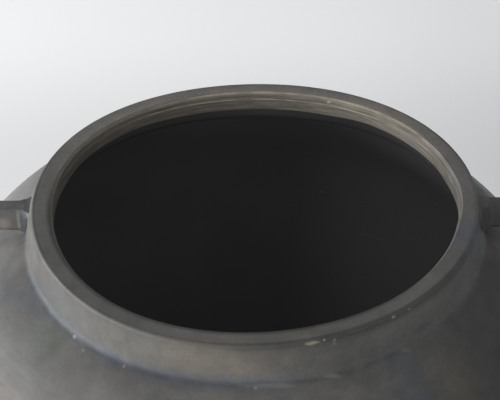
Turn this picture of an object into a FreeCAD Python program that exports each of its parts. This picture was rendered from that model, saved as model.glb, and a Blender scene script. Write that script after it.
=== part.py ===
import FreeCAD, Part
import math
import os

# Double ear vase, made as one piece. Sizes are in millimetres, +Z is up.
# The origin is the middle of the foot, on the surface that the vase stands on.
# The two ears leave the collar along +X and -X.

# Rim and collar
HEIGHT = 270.0
RIM_DIAMETER = 180.0
RIM_FACE = 7.6
RIM_DEPTH = 8.6
RIM_OUTER_CHAMFER = 0.8
RIM_INNER_CHAMFER = 1.2
COLLAR_HEIGHT = 15.0
COLLAR_FLARE = 3.2
COLLAR_HOLLOW = 0.5

# Body; the share is how much of the lean from the belly to the foot lies in the flank's arc
WALL = 4.0
BELLY_DIAMETER = 264.0
SHOULDER_RADIUS = 65.0
FLANK_RADIUS = 160.0
FLANK_SHARE = 0.67

# Foot
FOOT_DIAMETER = 148.0
FOOT_HEIGHT = 8.0
FOOT_WAIST = 2.5
FOOT_CHAMFER = 1.2
FOOT_RING = 9.0
FOOT_RECESS = 4.0
FLOOR_THICKNESS = 5.0
FLOOR_FILLET = 14.0

# Ears; the landing is how far inside the belly's widest line the leg meets the shoulder,
# and the root's flare widens the bar to both sides where it leaves the collar
EAR_THICKNESS = 6.5
EAR_BAR = 10.6
EAR_DROP = 2.2
EAR_REACH = 137.0
EAR_INNER_CORNER = 4.4
EAR_LANDING = 6.5
EAR_EDGE_CHAMFER = 1.2
EAR_ROOT_FLARE = 3.0

# Sizes that follow from those above
rim_radius = RIM_DIAMETER / 2
face_inner_radius = rim_radius - RIM_FACE
lip_radius = face_inner_radius - RIM_INNER_CHAMFER
lip_bottom = HEIGHT - RIM_DEPTH
crease_radius = rim_radius + COLLAR_FLARE
crease_height = HEIGHT - COLLAR_HEIGHT
neck_radius = crease_radius - WALL
belly_radius = BELLY_DIAMETER / 2
shoulder_centre = belly_radius - SHOULDER_RADIUS
belly_height = crease_height - math.sqrt(
    SHOULDER_RADIUS ** 2 - (crease_radius - shoulder_centre) ** 2)
flank_centre = belly_radius - FLANK_RADIUS
foot_radius = FOOT_DIAMETER / 2
foot_inner_radius = foot_radius - FOOT_RING
waist_radius = foot_radius - FOOT_WAIST
flank_turn = FLANK_SHARE * math.atan2(belly_radius - waist_radius, belly_height - FOOT_HEIGHT)
floor_height = FOOT_RECESS + FLOOR_THICKNESS
ear_top = HEIGHT - EAR_DROP


def at(radius, height):
    """A point of the section, in the XZ plane."""
    return FreeCAD.Vector(radius, 0, height)


def around(centre, radius, angle):
    """The point at an angle on a circle of the section, counted from +X upwards."""
    return centre + at(radius * math.cos(angle), radius * math.sin(angle))


def arc(centre, radius, start_angle, end_angle):
    middle_angle = (start_angle + end_angle) / 2
    points = [around(centre, radius, angle) for angle in (start_angle, middle_angle, end_angle)]
    return Part.Arc(*points).toShape()


def polyline(*points):
    return [Part.LineSegment(start, end).toShape() for start, end in zip(points, points[1:])]


def closed_face(edges):
    return Part.Face(Part.Wire(Part.__sortEdges__(edges)))


def revolved(edges):
    return closed_face(edges).revolve(FreeCAD.Vector(0, 0, 0), FreeCAD.Vector(0, 0, 1), 360)


def lower_body_circle():
    """Centre and radius of the arc that runs on from the flank to the foot's waist."""
    start = around(at(flank_centre, belly_height), FLANK_RADIUS, -flank_turn)
    chord = start - at(waist_radius, FOOT_HEIGHT)
    half_turn = math.atan2(chord.x, chord.z) - flank_turn
    radius = chord.Length / (2 * math.sin(half_turn))
    return around(start, radius, math.pi - flank_turn), radius


def body_section(inset, top_radius, bottom_height):
    """The shoulder, flank and lower body arcs, moved inwards by the inset, and their two ends."""
    shoulder = at(shoulder_centre, belly_height)
    shoulder_radius = SHOULDER_RADIUS - inset
    top_angle = math.acos((top_radius - shoulder_centre) / shoulder_radius)
    lower, lower_radius = lower_body_circle()
    lower_radius -= inset
    bottom_angle = math.asin((bottom_height - lower.z) / lower_radius)
    arcs = [arc(shoulder, shoulder_radius, top_angle, 0.0),
            arc(at(flank_centre, belly_height), FLANK_RADIUS - inset, 0.0, -flank_turn),
            arc(lower, lower_radius, -flank_turn, bottom_angle)]
    top = around(shoulder, shoulder_radius, top_angle)
    return arcs, top, around(lower, lower_radius, bottom_angle)


def foot_section(waist):
    """The recess under the foot, the foot ring and the step in to the body."""
    inner = foot_radius - FOOT_CHAMFER
    ring_top = FOOT_HEIGHT - FOOT_CHAMFER
    return polyline(at(0, FOOT_RECESS), at(foot_inner_radius, FOOT_RECESS),
                    at(foot_inner_radius, 0), at(inner, 0), at(foot_radius, FOOT_CHAMFER),
                    at(foot_radius, ring_top), at(inner, FOOT_HEIGHT), waist)


def collar_section(crease):
    """The slightly hollow collar and the eased outer edge of the rim."""
    collar_top = at(rim_radius, HEIGHT - RIM_OUTER_CHAMFER)
    collar_middle = (crease + collar_top) / 2 - at(COLLAR_HOLLOW, 0)
    edges = polyline(collar_top, at(rim_radius - RIM_OUTER_CHAMFER, HEIGHT))
    return edges + [Part.Arc(crease, collar_middle, collar_top).toShape()]


def outer_form():
    """The vase's outside as a solid, without its hollow and ears."""
    arcs, crease, waist = body_section(0.0, crease_radius, FOOT_HEIGHT)
    edges = foot_section(waist) + arcs + collar_section(crease)
    edges += polyline(at(rim_radius - RIM_OUTER_CHAMFER, HEIGHT), at(0, HEIGHT), at(0, FOOT_RECESS))
    return revolved(edges)


def floor_section(lower, lower_radius):
    """The arc between the inside of the lower body and the floor, and its two ends' points."""
    height = floor_height + FLOOR_FILLET
    to_centre = lower_radius - FLOOR_FILLET
    centre = at(lower.x + math.sqrt(to_centre ** 2 - (height - lower.z) ** 2), height)
    wall_angle = math.atan2(centre.z - lower.z, centre.x - lower.x)
    return arc(centre, FLOOR_FILLET, -math.pi / 2, wall_angle), wall_angle, at(centre.x, floor_height)


def hollow():
    """The space inside: the rim's worn bevel, the lip, the undercut, the body and the floor."""
    lower, lower_radius = lower_body_circle()
    fillet, wall_angle, floor_edge = floor_section(lower, lower_radius - WALL)
    wall_end = lower.z + (lower_radius - WALL) * math.sin(wall_angle)
    arcs, neck_foot, wall_foot = body_section(WALL, neck_radius, wall_end)
    edges = arcs + [fillet] + polyline(floor_edge, at(0, floor_height), at(0, HEIGHT),
                                       at(face_inner_radius, HEIGHT),
                                       at(lip_radius, HEIGHT - RIM_INNER_CHAMFER),
                                       at(lip_radius, lip_bottom), neck_foot)
    return revolved(edges)


def ear_side_view():
    """The +X ear seen from the side: a level bar, one rounded corner and a leg that leans in."""
    outer_corner = EAR_INNER_CORNER + EAR_BAR
    corner = at(EAR_REACH - outer_corner, ear_top - outer_corner)
    landing_radius = belly_radius - EAR_LANDING
    landing_angle = math.acos((landing_radius - shoulder_centre) / SHOULDER_RADIUS)
    landing = around(at(shoulder_centre, belly_height), SHOULDER_RADIUS, landing_angle)
    to_landing = landing - corner
    middle_radius = EAR_INNER_CORNER + EAR_BAR / 2
    turn_end = math.atan2(to_landing.z, to_landing.x) + math.acos(middle_radius / to_landing.Length)
    outer_turn = around(corner, outer_corner, turn_end)
    inner_turn = around(corner, EAR_INNER_CORNER, turn_end)
    leg_length = (inner_turn.z - belly_height) / math.cos(turn_end)
    leg = around(at(0, 0), leg_length, turn_end - math.pi / 2)
    edges = [arc(corner, outer_corner, math.pi / 2, turn_end),
             arc(corner, EAR_INNER_CORNER, turn_end, math.pi / 2)]
    edges += polyline(outer_turn, outer_turn + leg, inner_turn + leg, inner_turn)
    edges += polyline(around(corner, EAR_INNER_CORNER, math.pi / 2), at(lip_radius, ear_top - EAR_BAR),
                      at(lip_radius, ear_top), around(corner, outer_corner, math.pi / 2))
    return edges


def root_flares():
    """Two wedges with hollow sides, one on each side of the bar where it leaves the collar."""
    half = EAR_THICKNESS / 2
    wide = half + EAR_ROOT_FLARE
    tip_radius = rim_radius + EAR_ROOT_FLARE
    hollow_depth = EAR_ROOT_FLARE * (1 - math.sqrt(0.5))
    wedges = []
    for way in (1, -1):
        tip = FreeCAD.Vector(tip_radius, way * half, ear_top)
        bend = FreeCAD.Vector(rim_radius + hollow_depth, way * (half + hollow_depth), ear_top)
        root = FreeCAD.Vector(rim_radius, way * wide, ear_top)
        root_back = FreeCAD.Vector(neck_radius, way * wide, ear_top)
        edges = polyline(root, root_back, at(neck_radius, ear_top), at(tip_radius, ear_top), tip)
        edges.append(Part.Arc(tip, bend, root).toShape())
        wedges.append(closed_face(edges).extrude(FreeCAD.Vector(0, 0, -EAR_BAR)))
    return wedges


def ear():
    """The +X ear with its long edges eased and its root widened."""
    half = FreeCAD.Vector(0, EAR_THICKNESS / 2, 0)
    outline = closed_face(ear_side_view())
    outline.translate(-half)
    plate = outline.extrude(half * 2)
    long_edges = [edge for edge in plate.Edges if edge.BoundBox.YLength < EAR_EDGE_CHAMFER]
    return plate.makeChamfer(EAR_EDGE_CHAMFER, long_edges).fuse(root_flares())


def vase():
    """Body and ears in one solid, hollowed out."""
    right_ear = ear()
    left_ear = right_ear.copy()
    left_ear.rotate(FreeCAD.Vector(0, 0, 0), FreeCAD.Vector(0, 0, 1), 180)
    return outer_form().fuse([right_ear, left_ear]).cut(hollow()).removeSplitter()


os.makedirs("parts", exist_ok=True)
shape = vase()
shape.exportStep("parts/vase.step")
print("vase: solids", len(shape.Solids), "valid", shape.isValid(),
      "volume in cm3", round(shape.Volume / 1000, 1))
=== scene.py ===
import math

import bmesh
import bpy
from mathutils import Matrix, Vector


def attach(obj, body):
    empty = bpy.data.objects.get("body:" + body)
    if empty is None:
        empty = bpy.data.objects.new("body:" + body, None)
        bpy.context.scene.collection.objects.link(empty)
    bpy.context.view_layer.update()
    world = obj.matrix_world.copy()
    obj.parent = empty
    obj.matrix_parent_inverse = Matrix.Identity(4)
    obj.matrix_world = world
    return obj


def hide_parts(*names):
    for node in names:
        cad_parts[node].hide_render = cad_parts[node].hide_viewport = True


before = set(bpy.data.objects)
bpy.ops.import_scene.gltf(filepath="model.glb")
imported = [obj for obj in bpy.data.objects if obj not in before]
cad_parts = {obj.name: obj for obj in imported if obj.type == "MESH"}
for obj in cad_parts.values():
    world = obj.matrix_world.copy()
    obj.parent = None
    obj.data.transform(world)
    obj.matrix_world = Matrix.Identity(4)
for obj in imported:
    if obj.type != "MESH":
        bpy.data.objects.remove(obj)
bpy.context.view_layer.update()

# Double ear vase in dark patinated metal. Sizes are in metres and repeat the part's own.
MM = 0.001
HEIGHT = 0.270
RIM_RADIUS = 0.090
RIM_FACE = 0.0076
FACE_INNER = RIM_RADIUS - RIM_FACE
RIM_EDGE = 0.0013
LIP_BEVEL = 0.0012
LIP_RADIUS = FACE_INNER - LIP_BEVEL
LIP_BOTTOM = HEIGHT - 0.0086
LIP_EASE = 0.0004
LEDGE = 0.0029
LEDGE_WIDTH = 0.0003
LEDGE_FALL = 0.0003
CREASE_RADIUS = 0.0928
CREASE_HEIGHT = HEIGHT - 0.0147
CREASE_EASE = 0.0018
COLLAR_HOLLOW = 0.0005
WALL = 0.004
BELLY_RADIUS = 0.1316
SHOULDER_RADIUS = 0.065
FLANK_RADIUS = 0.160
FLANK_SHARE = 0.67
FOOT_RADIUS = 0.074
FOOT_HEIGHT = 0.008
WAIST_RADIUS = 0.0715
FOOT_EASE = 0.0012
RECESS_RADIUS = 0.065
RECESS = 0.004
RECESS_EASE = 0.0006
FLOOR = 0.009
FLOOR_FILLET = 0.014

EAR_THICKNESS = 0.0065
EAR_BAR = 0.0106
EAR_DROP = 0.0022
EAR_REACH = 0.1367
EAR_INNER_CORNER = 0.0044
EAR_LANDING_RADIUS = 0.1255
EAR_LANDING_HEIGHT = 0.2238
EAR_TOP = HEIGHT - EAR_DROP

# Steps of the section, from the foot up, and of what is turned from it
COLUMNS = 480
OUTER_STEPS = (20, 6, 26)
INNER_STEPS = (10, 3, 12)
CREASE_STEPS = 6
COLLAR_ROWS = (0.13, 0.17, 0.22, 0.30, 0.40, 0.50, 0.60, 0.70, 0.79, 0.86, 0.91, 0.94, 0.97, 1.0)
SEAM_ROW = 0.94
MERGE_DISTANCE = 0.00002
SMOOTH_ANGLE = math.radians(38)
# How near a point lies to a line or a face that it is on
TOUCH = 0.0001

# Ear steps: how far past the rim's radius, and how much wider on each side
ROOT_START = 0.0868
ROOT_STEPS = ((-0.0002, 0.0030), (0.0008, 0.0021), (0.0018, 0.0011), (0.0030, 0.0004), (0.0045, 0.0))
COLLAR_LEAN_AT_EAR = 0.0021
BAR_STEPS = 8
CORNER_STEPS = 10
LEG_STEPS = ((0.007, 1.0), (0.007, 1.0), (0.006, 1.0), (0.005, 1.12), (0.004, 1.25), (0.008, 1.2))
EAR_EASE = 0.0009
SHARP_ANGLE = math.radians(60)

# How the rim is out of round: oval, three-cornered and four-cornered, each with the direction
# in which it stands out, and how far rim and collar sit to the right of the body's middle
OVAL = 0.00066
OVAL_TURN = math.radians(42.0)
THREE_CORNERED = 0.0008
THREE_TURN = math.radians(21.0)
FOUR_CORNERED = 0.00047
FOUR_TURN = math.radians(51.0)
RIM_SHIFT = 0.0019
PUSH = 0.004
# The push starts at the first height and is full at the second
PUSH_HEIGHTS = (CREASE_HEIGHT - 0.012, CREASE_HEIGHT - 0.001)
# How far out the push has faded along the ears, and over what length
PUSH_END = 0.118
PUSH_FADE = 0.020

# Where the edge between face and bevel is worn back: from and to which direction, and how far
WORN_EDGE = ((31.0, 122.0, 0.0003), (32.5, 114.0, 0.0004), (34.0, 106.0, 0.0003))
# The ledge in the lip runs between these directions
LEDGE_ENDS = (-60.0, 124.0)

# Hand work: how far places are moved, and for the uneven ones also where the middle of the
# movement lies and how big its patches are
LIP_EDGE_RISE = 0.0012
MOUTH_RIGHT_REACH = 0.0011
LEFT_BEAD_REACH = 0.0015
SEAM_DEPTH = 0.0003
CREASE_BEAD = (0.0005, 0.4, 0.006)
RAGGED_ROOTS = (0.0011, 0.45, 0.0035)
HAND_WORKED = (0.0007, 0.62, 0.035)
# How far the ragged places reach to the sides of an ear's root, out from the rim, and round
# the place where its leg lands
EAR_ROOT_SIDE = 0.009
EAR_ROOT_REACH = 0.0075
EAR_LANDING_REACH = 0.012

# Cloudy tints of the patina: shift, scale, low, high and colour
TINTS = (
    (3.0, 30.0, 0.52, 0.68, (0.078, 0.084, 0.096, 1.0)),
    (7.0, 26.0, 0.55, 0.70, (0.125, 0.108, 0.092, 1.0)),
    (11.0, 34.0, 0.56, 0.72, (0.090, 0.097, 0.088, 1.0)),
)

# Nicks, specks and rubbed places: direction in degrees, radius, height, size and colour
MARKS = (
    (-76.8, 0.0900, 0.2686, (0.0036, 0.0020, 0.0009), (0.25, 0.235, 0.16, 1.0)),
    (-71.5, 0.0900, 0.2665, (0.0008, 0.0010, 0.0009), (0.125, 0.125, 0.12, 1.0)),
    (-74.0, 0.0900, 0.2690, (0.0006, 0.0008, 0.0006), (0.22, 0.22, 0.21, 1.0)),
    (-71.5, 0.0900, 0.2681, (0.0006, 0.0008, 0.0006), (0.17, 0.17, 0.17, 1.0)),
    (-55.5, 0.0898, 0.2688, (0.0010, 0.0010, 0.0008), (0.21, 0.21, 0.20, 1.0)),
    (-50.5, 0.0898, 0.2686, (0.0008, 0.0009, 0.0007), (0.17, 0.17, 0.17, 1.0)),
    (-135.3, 0.0938, 0.2549, (0.0011, 0.0010, 0.0007), (0.160, 0.165, 0.170, 1.0)),
    (-131.0, 0.0958, 0.2539, (0.0008, 0.0008, 0.0007), (0.125, 0.125, 0.125, 1.0)),
    (-120.0, 0.0944, 0.2546, (0.0009, 0.0008, 0.0007), (0.120, 0.128, 0.134, 1.0)),
    (-73.0, 0.0938, 0.2546, (0.0050, 0.0012, 0.0012), (0.125, 0.118, 0.104, 1.0)),
    (-53.5, 0.0940, 0.2544, (0.0038, 0.0016, 0.0012), (0.118, 0.112, 0.100, 1.0)),
    (-66.0, 0.0938, 0.2548, (0.0034, 0.0022, 0.0020), (0.096, 0.086, 0.074, 1.0)),
    (-47.0, 0.0918, 0.2578, (0.0056, 0.0056, 0.0016), (0.070, 0.070, 0.084, 1.0)),
    (-86.0, 0.0942, 0.2546, (0.0120, 0.0014, 0.0010), (0.098, 0.104, 0.112, 1.0)),
    (-90.0, 0.0946, 0.2544, (0.0007, 0.0007, 0.0007), (0.145, 0.150, 0.158, 1.0)),
    (66.0, 0.0812, 0.2686, (0.0012, 0.0012, 0.0008), (0.32, 0.29, 0.22, 1.0)),
)

# Soft patches, mostly painted light and shade, lighter and darker, with a few tints and darker patina
# patches: middle, reach and how much of the colour stays
LIGHT_SHADE_AND_TINT_PATCHES = (
    ((-0.0890, -0.0370, 0.2520), (0.020, 0.018, 0.020), (0.82, 0.82, 0.81, 1.0)),
    ((-0.0830, -0.0800, 0.2380), (0.024, 0.020, 0.026), (0.84, 0.84, 0.83, 1.0)),
    ((-0.0990, -0.0150, 0.2515), (0.012, 0.012, 0.016), (1.38, 1.38, 1.36, 1.0)),
    ((-0.0755, -0.0655, 0.2520), (0.007, 0.009, 0.008), (0.84, 0.86, 0.82, 1.0)),
    ((0.0160, -0.0970, 0.2525), (0.044, 0.010, 0.020), (1.28, 1.25, 1.20, 1.0)),
    ((0.0985, -0.0130, 0.2510), (0.012, 0.010, 0.010), (1.32, 1.32, 1.30, 1.0)),
    ((0.1030, 0.0460, 0.2405), (0.018, 0.018, 0.018), (1.85, 1.85, 1.80, 1.0)),
    ((-0.1080, -0.0040, 0.2600), (0.016, 0.006, 0.012), (1.26, 1.25, 1.22, 1.0)),
    ((-0.0160, -0.0910, 0.2630), (0.030, 0.012, 0.010), (1.20, 1.13, 1.03, 1.0)),
    ((-0.0440, -0.0800, 0.2610), (0.020, 0.014, 0.009), (1.09, 1.07, 1.03, 1.0)),
    ((-0.0480, -0.0960, 0.2510), (0.022, 0.014, 0.010), (1.07, 1.06, 1.05, 1.0)),
    ((-0.0790, -0.0480, 0.2610), (0.014, 0.016, 0.009), (0.95, 0.93, 0.87, 1.0)),
    ((-0.1060, 0.0000, 0.2678), (0.016, 0.004, 0.003), (1.34, 1.34, 1.37, 1.0)),
    ((0.0560, 0.0660, 0.2700), (0.030, 0.020, 0.003), (1.14, 1.12, 1.10, 1.0)),
)

# Marks inside: a level scratch on the far wall and three specks, as places
SCRATCH_HEIGHT = 0.1683
SCRATCH_MIDDLE = (0.0615, 0.109, SCRATCH_HEIGHT)
SCRATCH_HALF = 0.00012
SCRATCH_REACH = (0.010, 0.010, 0.010)
INNER_SPECKS = ((0.0355, 0.1223, 0.1864), (0.0886, 0.0917, 0.2005), (0.0767, 0.0456, 0.2557))
SPECK_SIZE = (0.0006, 0.0008, 0.0005)

# Camera, matched to the photograph
PHOTO_WIDTH = 500.0
PHOTO_HEIGHT = 400.0
RIM_CENTRE_PIXEL = (254.1, 198.4)
VIEW_DISTANCE = 0.63
VIEW_DOWN = math.radians(35.5)
VIEW_ROLL = math.radians(0.4)
FOCAL_PIXELS = 1572.0
SENSOR_WIDTH = 36.0

# Light: each panel's name, place, width, height and power, and what all of them face
PANELS = (
    ("window_left", (-1.90, -0.06, 0.56), 3.2, 0.7, 77.0),
    ("front_fill", (-0.35, -2.0, 0.55), 0.9, 0.5, 6.5),
)
LIT_PLACE = (0, 0, 0.2)
# The room's light on the vase, and what the camera sees of the room
ROOM_GREYS = ((0.48, -0.02), (0.75, -0.01))

# Floor: its size, and its paper in front and, paler as painted light, at the back, and how much stays
# under the painted shadow at the back right
FLOOR_SIZE = 8.0
PAPER_GREYS_PAINTED_LIGHT = ((0.76, 0.76, 0.76, 1.0), (0.94, 0.94, 0.94, 1.0))
PAPER_PAINTED_SHADOW = (0.86, 0.86, 0.88, 1.0)

shoulder_centre = BELLY_RADIUS - SHOULDER_RADIUS
belly_height = CREASE_HEIGHT - math.sqrt(SHOULDER_RADIUS ** 2 - (CREASE_RADIUS - shoulder_centre) ** 2)


# Selecting and shaping

def deselect_everything():
    if bpy.context.object and bpy.context.object.mode != "OBJECT":
        bpy.ops.object.mode_set(mode="OBJECT")
    bpy.ops.object.select_all(action="DESELECT")


def take(piece):
    """Makes one piece the only selected and active one."""
    deselect_everything()
    piece.select_set(True)
    bpy.context.view_layer.objects.active = piece
    return piece


def edit(piece):
    take(piece)
    bpy.ops.object.mode_set(mode="EDIT")


def leave():
    bpy.ops.object.mode_set(mode="OBJECT")


def pick(piece, kind, wanted):
    """Selects the vertices or faces that pass the test, in edit mode."""
    bpy.ops.mesh.select_mode(type={"verts": "VERT", "faces": "FACE"}[kind])
    bpy.ops.mesh.select_all(action="DESELECT")
    mesh = bmesh.from_edit_mesh(piece.data)
    for item in getattr(mesh, kind):
        if wanted(item):
            item.select_set(True)
    mesh.select_flush_mode()
    bmesh.update_edit_mesh(piece.data, loop_triangles=False, destructive=False)


def settle(piece):
    """Puts the place, turn and scale of a finished piece into its mesh."""
    take(piece)
    bpy.ops.object.transform_apply(location=True, rotation=True, scale=True)


def finish_with(piece, kind, name, **settings):
    """Adds a modifier with its settings and applies it."""
    take(piece)
    modifier = piece.modifiers.new(name, kind)
    for key, value in settings.items():
        setattr(modifier, key, value)
    bpy.ops.object.modifier_apply(modifier=name)


# The half section, from under the foot up the outside, over the rim and down the inside

def at(radius, height):
    return Vector((radius, 0.0, height))


def along(start, end, steps):
    """Points from just after the start to the end of a straight run."""
    return [start.lerp(end, step / steps) for step in range(1, steps + 1)]


def around(centre, radius, start, end, steps):
    """Points on an arc, from its start angle to its end angle, both included."""
    turns = [start + (end - start) * step / steps for step in range(steps + 1)]
    return [centre + at(radius * math.cos(turn), radius * math.sin(turn)) for turn in turns]


flank_centre = at(BELLY_RADIUS - FLANK_RADIUS, belly_height)
shoulder = at(shoulder_centre, belly_height)
flank_turn = FLANK_SHARE * math.atan2(BELLY_RADIUS - WAIST_RADIUS, belly_height - FOOT_HEIGHT)


def lower_body():
    """Centre and radius of the arc from the flank to the foot's waist."""
    start = around(flank_centre, FLANK_RADIUS, -flank_turn, -flank_turn, 1)[0]
    chord = start - at(WAIST_RADIUS, FOOT_HEIGHT)
    half_turn = math.atan2(chord.x, chord.z) - flank_turn
    radius = chord.length / (2 * math.sin(half_turn))
    return start + at(-radius * math.cos(flank_turn), radius * math.sin(flank_turn)), radius


def body_arcs(inset, top_radius, bottom_height, steps):
    """Shoulder, flank and lower body, from the bottom up, moved inwards by the inset."""
    shoulder_radius = SHOULDER_RADIUS - inset
    top = math.acos((top_radius - shoulder_centre) / shoulder_radius)
    centre, radius = lower_body()
    bottom = math.asin((bottom_height - centre.z) / (radius - inset))
    points = around(centre, radius - inset, bottom, -flank_turn, steps[0])
    points += around(flank_centre, FLANK_RADIUS - inset, -flank_turn, 0.0, steps[1])[1:]
    points += around(shoulder, shoulder_radius, 0.0, top, steps[2])[1:]
    return points


def outside():
    """The recess, the foot ring, the body and the eased crease."""
    points = [at(0.0, RECESS)] + along(at(0.0, RECESS), at(RECESS_RADIUS, RECESS), 6)
    points += along(points[-1], at(RECESS_RADIUS + RECESS_EASE, RECESS_EASE), 2)
    points += [at(RECESS_RADIUS + 2 * RECESS_EASE, 0.0)]
    points += along(points[-1], at(FOOT_RADIUS - FOOT_EASE, 0.0), 3)
    points += around(at(FOOT_RADIUS - FOOT_EASE, FOOT_EASE), FOOT_EASE, -math.pi / 2, 0.0, 4)[1:]
    points += along(points[-1], at(FOOT_RADIUS, FOOT_HEIGHT - FOOT_EASE), 3)
    ring_top = at(FOOT_RADIUS - FOOT_EASE, FOOT_HEIGHT - FOOT_EASE)
    points += around(ring_top, FOOT_EASE, 0.0, math.pi / 2, 4)[1:]
    points += body_arcs(0.0, CREASE_RADIUS, FOOT_HEIGHT + 0.0004, OUTER_STEPS)
    crease = points.pop()
    above = collar()[0]
    below = crease + (points[-1] - crease).normalized() * CREASE_EASE
    points += [below]
    for step in range(1, CREASE_STEPS):
        share = step / CREASE_STEPS
        points.append(below.lerp(crease, share).lerp(crease.lerp(above, share), share))
    return points


def collar():
    """The hollow of the collar, the seam under the rim and the eased edge."""
    foot = at(CREASE_RADIUS, CREASE_HEIGHT)
    head = at(RIM_RADIUS, HEIGHT - RIM_EDGE)
    points = []
    for share in COLLAR_ROWS:
        bow = COLLAR_HOLLOW * 4 * share * (1 - share)
        points.append(foot.lerp(head, share) - at(bow, 0.0))
    ease = around(at(RIM_RADIUS - RIM_EDGE, HEIGHT - RIM_EDGE), RIM_EDGE, 0.0, math.pi / 2, 4)[1:]
    return points + ease


def rim_and_inside():
    """The rim's face, the worn bevel, the lip with its ledge, the wall and the floor."""
    points = along(at(RIM_RADIUS - RIM_EDGE, HEIGHT), at(FACE_INNER, HEIGHT), 6)
    points += along(points[-1], at(LIP_RADIUS + LEDGE_WIDTH / 2, HEIGHT - LIP_BEVEL), 2)
    points += along(points[-1], at(LIP_RADIUS + LEDGE_WIDTH / 2, HEIGHT - LEDGE), 2)
    points += [at(LIP_RADIUS - LEDGE_WIDTH / 2, HEIGHT - LEDGE - LEDGE_FALL)]
    points += along(points[-1], at(LIP_RADIUS, LIP_BOTTOM + LIP_EASE), 5)
    points += [at(LIP_RADIUS + LIP_EASE, LIP_BOTTOM)]
    centre, radius = lower_body()
    height = FLOOR + FLOOR_FILLET
    inner = radius - WALL
    across = math.sqrt((inner - FLOOR_FILLET) ** 2 - (height - centre.z) ** 2)
    fillet_centre = at(centre.x + across, height)
    wall_turn = math.atan2(fillet_centre.z - centre.z, fillet_centre.x - centre.x)
    wall_end = centre.z + inner * math.sin(wall_turn)
    walls = body_arcs(WALL, CREASE_RADIUS - WALL, wall_end, INNER_STEPS)
    points += along(points[-1], walls[-1], 3) + walls[::-1][1:]
    points += around(fillet_centre, FLOOR_FILLET, wall_turn, -math.pi / 2, 5)[1:]
    points += along(points[-1], at(0.0, FLOOR), 5)
    return points


def draw_section(points):
    """Draws a section point by point from one corner, as with the extrude key."""
    deselect_everything()
    bpy.ops.mesh.primitive_plane_add(size=MM, location=points[0])
    piece = bpy.context.object
    bpy.ops.object.transform_apply(location=True)
    edit(piece)
    bpy.ops.mesh.select_all(action="SELECT")
    bpy.ops.mesh.merge(type="CENTER")
    for here, there in zip(points, points[1:]):
        bpy.ops.mesh.extrude_region_move(TRANSFORM_OT_translate={"value": there - here})
    return piece


def turn_body():
    body = draw_section(outside() + collar() + rim_and_inside())
    bpy.ops.mesh.select_all(action="SELECT")
    bpy.ops.mesh.spin(steps=COLUMNS, angle=math.tau, center=(0, 0, 0), axis=(0, 0, 1))
    bpy.ops.mesh.select_all(action="SELECT")
    bpy.ops.mesh.remove_doubles(threshold=MERGE_DISTANCE)
    bpy.ops.mesh.normals_make_consistent(inside=False)
    leave()
    body.name = "vase_body"
    return body


# Ears

def grow(move, widen=1.0):
    """Extrudes the selected end and widens it sideways."""
    bpy.ops.mesh.extrude_region_move(TRANSFORM_OT_translate={"value": move})
    if widen != 1.0:
        bpy.ops.transform.resize(value=(1.0, widen, 1.0), center_override=(0.0, 0.0, 0.0))


def make_ear():
    """The right ear: a flared root, a level bar, a rounded corner and a leg that leans in."""
    outer_corner = EAR_INNER_CORNER + EAR_BAR
    corner = at(EAR_REACH - outer_corner, EAR_TOP - outer_corner)
    to_landing = at(EAR_LANDING_RADIUS, EAR_LANDING_HEIGHT) - corner
    middle = EAR_INNER_CORNER + EAR_BAR / 2
    turn_end = math.atan2(to_landing.z, to_landing.x) + math.acos(middle / to_landing.length)
    deselect_everything()
    root_end = RIM_RADIUS + ROOT_STEPS[0][0]
    widths = [EAR_THICKNESS + 2 * spread for _, spread in ROOT_STEPS]
    bpy.ops.mesh.primitive_cube_add(
        size=1.0, location=((ROOT_START + root_end) / 2, 0.0, EAR_TOP - EAR_BAR / 2),
        scale=(root_end - ROOT_START, widths[0], EAR_BAR))
    ear = bpy.context.object
    settle(ear)
    edit(ear)
    pick(ear, "faces", lambda face: face.normal.x > 0.9)
    for (here, _), (there, _), old, new in zip(ROOT_STEPS, ROOT_STEPS[1:], widths, widths[1:]):
        grow((there - here, 0, 0), new / old)
    straight = corner.x - RIM_RADIUS - ROOT_STEPS[-1][0]
    for _ in range(BAR_STEPS):
        grow((straight / BAR_STEPS, 0, 0))
    bpy.ops.mesh.spin(steps=CORNER_STEPS, angle=math.pi / 2 - turn_end, center=corner,
                      axis=(0, -1, 0))
    leg = around(at(0, 0), 1.0, turn_end - math.pi / 2, turn_end - math.pi / 2, 1)[0]
    for length, widen in LEG_STEPS:
        grow(leg * length, widen)
    # the root follows the collar, which is wider lower down
    flare_end = RIM_RADIUS + ROOT_STEPS[-1][0]
    pick(ear, "verts", lambda vert: ROOT_START + TOUCH < vert.co.x < flare_end - TOUCH
         and vert.co.z < EAR_TOP - EAR_BAR / 2)
    bpy.ops.transform.translate(value=(COLLAR_LEAN_AT_EAR, 0, 0))
    bpy.ops.mesh.select_all(action="SELECT")
    bpy.ops.mesh.normals_make_consistent(inside=False)
    leave()
    finish_with(ear, "BEVEL", "eased_edges", width=EAR_EASE, segments=3, limit_method="ANGLE",
                angle_limit=SHARP_ANGLE)
    edit(ear)
    bpy.ops.mesh.select_all(action="SELECT")
    bpy.ops.mesh.subdivide(number_cuts=2)
    leave()
    # the leg stops inside the wall
    deselect_everything()
    bpy.ops.mesh.primitive_torus_add(
        major_radius=shoulder_centre, minor_radius=SHOULDER_RADIUS - WALL / 2,
        major_segments=240, minor_segments=120, location=(0, 0, belly_height))
    core = bpy.context.object
    settle(core)
    finish_with(ear, "BOOLEAN", "stop_in_wall", operation="DIFFERENCE", object=core, solver="EXACT")
    bpy.data.objects.remove(core)
    return ear


def copy_turned(piece, turn):
    take(piece)
    bpy.ops.object.duplicate()
    copy = bpy.context.object
    copy.rotation_euler.z = turn
    settle(copy)
    return copy


def join_solid(body, piece, name):
    finish_with(body, "BOOLEAN", name, operation="UNION", object=piece, solver="EXACT")
    bpy.data.objects.remove(piece)


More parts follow.
